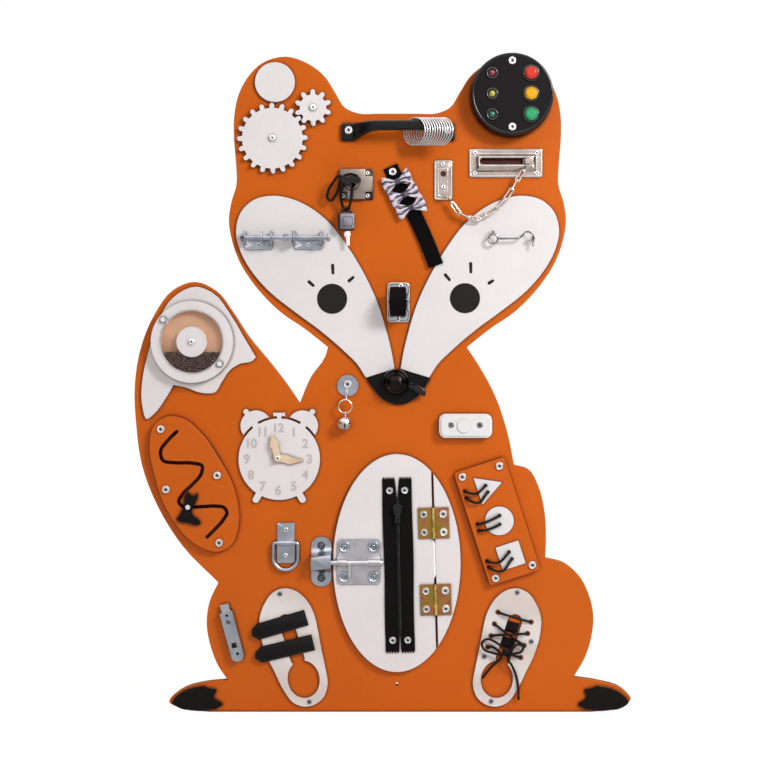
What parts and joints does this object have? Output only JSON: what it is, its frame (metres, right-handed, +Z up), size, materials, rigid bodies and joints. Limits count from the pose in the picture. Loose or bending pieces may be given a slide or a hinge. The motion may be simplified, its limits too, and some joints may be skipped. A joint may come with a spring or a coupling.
{
  "type": "busy board",
  "caption": "Wall-mounted wooden busy board shaped as a sitting fox, with gears, latches, a clock, a maze, a peekaboo door, shoes to fasten and a light box.",
  "frame": {"origin": "middle of the straight bottom edge of the base board, half way through its thickness", "axes": "+Z up the board, -Y out of its front face towards the child, +X to the viewer's right"},
  "size_m": [0.6834, 0.0555, 0.902],
  "materials": {
    "board": "satin painted",
    "white_paint": "satin painted",
    "black_paint": "satin painted",
    "black_plastic": "satin",
    "white_plastic": "glossy",
    "red_plastic": "glossy",
    "yellow_plastic": "glossy",
    "green_plastic": "glossy",
    "zinc": "bright zinc plated",
    "steel": "satin",
    "yellow_zinc": "yellow passivated zinc",
    "dark_metal": "satin",
    "bare_wood": "raw birch plywood",
    "clear_plastic": "clear acrylic",
    "seeds": "matt",
    "black_fabric": "woven",
    "black_rubber": "matt"
  },
  "bodies": {
    "root": {"base_board": "board", "white_panels": "white_paint", "black_panels": "black_paint", "pull_handle": "black_plastic", "light_box": "black_plastic", "light_electronics": "black_plastic", "chain_plates": "zinc", "lock_case": "steel", "bolt_brackets": "zinc", "bell_base": "black_plastic", "doorbell_case": "white_plastic", "maze_panel": "board", "clock_face": "white_paint", "steel_plates": "zinc", "fixed_hinge_leaves": "yellow_zinc", "shoe_soles": "white_paint", "shape_board": "board", "board_screws": "steel", "seed_filling": "seeds", "shoe_lace": "black_fabric", "lock_cord": "black_fabric"},
    "gear_large": {"gear_large": "white_paint"},
    "gear_small": {"gear_small": "white_paint"},
    "handle_rings": {"handle_rings": "zinc"},
    "bow_strap": {"bow_strap": "black_fabric"},
    "button_red": {"button_red": "red_plastic"},
    "button_yellow": {"button_yellow": "yellow_plastic"},
    "button_green": {"button_green": "green_plastic"},
    "chain_slider": {"chain_slider": "zinc"},
    "chain_upper": {"chain_upper": "zinc"},
    "chain_lower": {"chain_lower": "zinc"},
    "lock_key": {"lock_key": "black_plastic"},
    "padlock": {"padlock": "dark_metal"},
    "wing_nut": {"wing_nut": "zinc"},
    "gate_hook": {"gate_hook": "zinc"},
    "castor_wheel": {"castor_wheel": "black_rubber"},
    "bell_lever": {"bell_lever": "black_plastic"},
    "jingle_bell": {"jingle_bell": "zinc"},
    "doorbell_button": {"doorbell_button": "white_plastic"},
    "grain_wheel": {"grain_wheel": "white_paint", "grain_window": "clear_plastic"},
    "maze_rider": {"maze_rider": "black_plastic"},
    "minute_hand": {"minute_hand": "bare_wood"},
    "hour_hand": {"hour_hand": "bare_wood"},
    "ring_bail": {"ring_bail": "zinc"},
    "door": {"door_panel": "white_paint", "door_fittings": "steel", "zipper_tape": "black_fabric", "door_screws": "steel"},
    "zipper_slider": {"zipper_slider": "dark_metal"},
    "door_bolt": {"door_bolt": "steel"},
    "strap_upper": {"strap_upper": "black_fabric"},
    "strap_lower": {"strap_lower": "black_fabric"},
    "tile_triangle": {"tile_triangle": "white_paint", "cord_triangle": "black_fabric"},
    "tile_circle": {"tile_circle": "white_paint", "cord_circle": "black_fabric"},
    "tile_square": {"tile_square": "white_paint", "cord_square": "black_fabric"},
    "latch_bolt": {"latch_bolt": "zinc"}
  },
  "joints": [
    {"name": "large_gear_turns", "type": "hinge", "parent": "root", "child": "gear_large", "pos_m": [-0.1753, -0.0094, 0.7886], "axis": [0, -1, 0], "continuous": true},
    {"name": "small_gear_turns", "type": "hinge", "parent": "root", "child": "gear_small", "pos_m": [-0.1194, -0.0094, 0.83057], "axis": [0, -1, 0], "continuous": true},
    {"name": "rings_slide", "type": "slide", "parent": "root", "child": "handle_rings", "axis": [-1, 0, 0], "range_m": [0, 0.045]},
    {"name": "bow_strap_swings", "type": "hinge", "parent": "root", "child": "bow_strap", "pos_m": [-0.01, -0.007, 0.743], "axis": [0, -1, 0], "range_deg": [-20, 0]},
    {"name": "red_button_presses", "type": "slide", "parent": "root", "child": "button_red", "axis": [0, 1, 0], "range_m": [0, 0.0025], "stiffness_N_per_m": 300},
    {"name": "yellow_button_presses", "type": "slide", "parent": "root", "child": "button_yellow", "axis": [0, 1, 0], "range_m": [0, 0.0025], "stiffness_N_per_m": 300},
    {"name": "green_button_presses", "type": "slide", "parent": "root", "child": "button_green", "axis": [0, 1, 0], "range_m": [0, 0.0025], "stiffness_N_per_m": 300},
    {"name": "chain_slider_slides", "type": "slide", "parent": "root", "child": "chain_slider", "axis": [-1, 0, 0], "range_m": [0, 0.06]},
    {"name": "upper_chain_swings", "type": "hinge", "parent": "chain_slider", "child": "chain_upper", "pos_m": [0.175, -0.017, 0.757], "axis": [0, -1, 0], "range_deg": [0, 30]},
    {"name": "lower_chain_swings", "type": "hinge", "parent": "root", "child": "chain_lower", "pos_m": [0.062, -0.017, 0.711], "axis": [0, -1, 0], "range_deg": [-30, 0]},
    {"name": "lock_key_turns", "type": "hinge", "parent": "root", "child": "lock_key", "pos_m": [-0.0665, -0.02, 0.727], "axis": [0, -1, 0], "range_deg": [0, 90]},
    {"name": "padlock_swings", "type": "hinge", "parent": "root", "child": "padlock", "pos_m": [-0.0735, -0.019, 0.691], "axis": [0, -1, 0], "range_deg": [-18, 35]},
    {"name": "wing_nut_spins", "type": "hinge", "parent": "root", "child": "wing_nut", "pos_m": [-0.157, -0.023, 0.651], "axis": [1, 0, 0], "continuous": true},
    {"name": "gate_hook_lifts", "type": "hinge", "parent": "root", "child": "gate_hook", "pos_m": [0.1273, -0.019, 0.65], "axis": [0, -1, 0], "range_deg": [0, 45]},
    {"name": "castor_spins", "type": "hinge", "parent": "root", "child": "castor_wheel", "pos_m": [-0.003, -0.0295, 0.5635], "axis": [1, 0, 0], "continuous": true},
    {"name": "bell_lever_strikes", "type": "hinge", "parent": "root", "child": "bell_lever", "pos_m": [0.0039, -0.014, 0.4547], "axis": [0, -1, 0], "range_deg": [0, 20], "stiffness_Nm_per_rad": 0.08},
    {"name": "jingle_bell_swings", "type": "hinge", "parent": "root", "child": "jingle_bell", "pos_m": [-0.0735, -0.0176, 0.4365], "axis": [0, -1, 0], "range_deg": [-30, 30]},
    {"name": "doorbell_presses", "type": "slide", "parent": "root", "child": "doorbell_button", "axis": [0, 1, 0], "range_m": [0, 0.002], "stiffness_N_per_m": 300},
    {"name": "grain_wheel_turns", "type": "hinge", "parent": "root", "child": "grain_wheel", "pos_m": [-0.2846, -0.016, 0.5088], "axis": [0, -1, 0], "continuous": true},
    {"name": "rider_slides", "type": "slide", "parent": "root", "child": "maze_rider", "axis": [0.9997, 0, 0.025], "range_m": [0, 0.038]},
    {"name": "minute_hand_turns", "type": "hinge", "parent": "root", "child": "minute_hand", "pos_m": [-0.1675, -0.015, 0.3495], "axis": [0, -1, 0], "continuous": true},
    {"name": "hour_hand_turns", "type": "hinge", "parent": "root", "child": "hour_hand", "pos_m": [-0.1675, -0.012, 0.3495], "axis": [0, -1, 0], "continuous": true},
    {"name": "ring_bail_lifts", "type": "hinge", "parent": "root", "child": "ring_bail", "pos_m": [-0.157, -0.0112, 0.233], "axis": [-1, 0, 0], "range_deg": [0, 165]},
    {"name": "door_opens", "type": "hinge", "parent": "root", "child": "door", "pos_m": [0.0475, -0.0162, 0.2057], "axis": [-0.0279, 0, 0.9996], "range_deg": [0, 110]},
    {"name": "zip_slides", "type": "slide", "parent": "door", "child": "zipper_slider", "axis": [0.0209, 0, -0.9998], "range_m": [0, 0.14]},
    {"name": "door_bolt_slides", "type": "slide", "parent": "door", "child": "door_bolt", "axis": [1, 0, 0], "range_m": [0, 0.0135]},
    {"name": "upper_strap_opens", "type": "hinge", "parent": "root", "child": "strap_upper", "pos_m": [-0.1285, -0.0103, 0.131], "axis": [-0.284, 0, 0.9588], "range_deg": [0, 88]},
    {"name": "lower_strap_opens", "type": "hinge", "parent": "root", "child": "strap_lower", "pos_m": [-0.119, -0.0103, 0.097], "axis": [-0.2334, 0, 0.9724], "range_deg": [0, 88]},
    {"name": "triangle_tile_pulls", "type": "slide", "parent": "root", "child": "tile_triangle", "axis": [0, -1, 0], "range_m": [0, 0.008]},
    {"name": "circle_tile_pulls", "type": "slide", "parent": "root", "child": "tile_circle", "axis": [0, -1, 0], "range_m": [0, 0.008]},
    {"name": "square_tile_pulls", "type": "slide", "parent": "root", "child": "tile_square", "axis": [0, -1, 0], "range_m": [0, 0.008]},
    {"name": "latch_bolt_slides", "type": "slide", "parent": "root", "child": "latch_bolt", "axis": [0.2588, 0, -0.9659], "range_m": [0, 0.008]}
  ],
  "couplings": [
    {"joint": "small_gear_turns", "follows": "large_gear_turns", "ratio": -2},
    {"joint": "upper_chain_swings", "follows": "chain_slider_slides", "rad_per_m": 6.865},
    {"joint": "lower_chain_swings", "follows": "chain_slider_slides", "rad_per_m": -7.62}
  ]
}
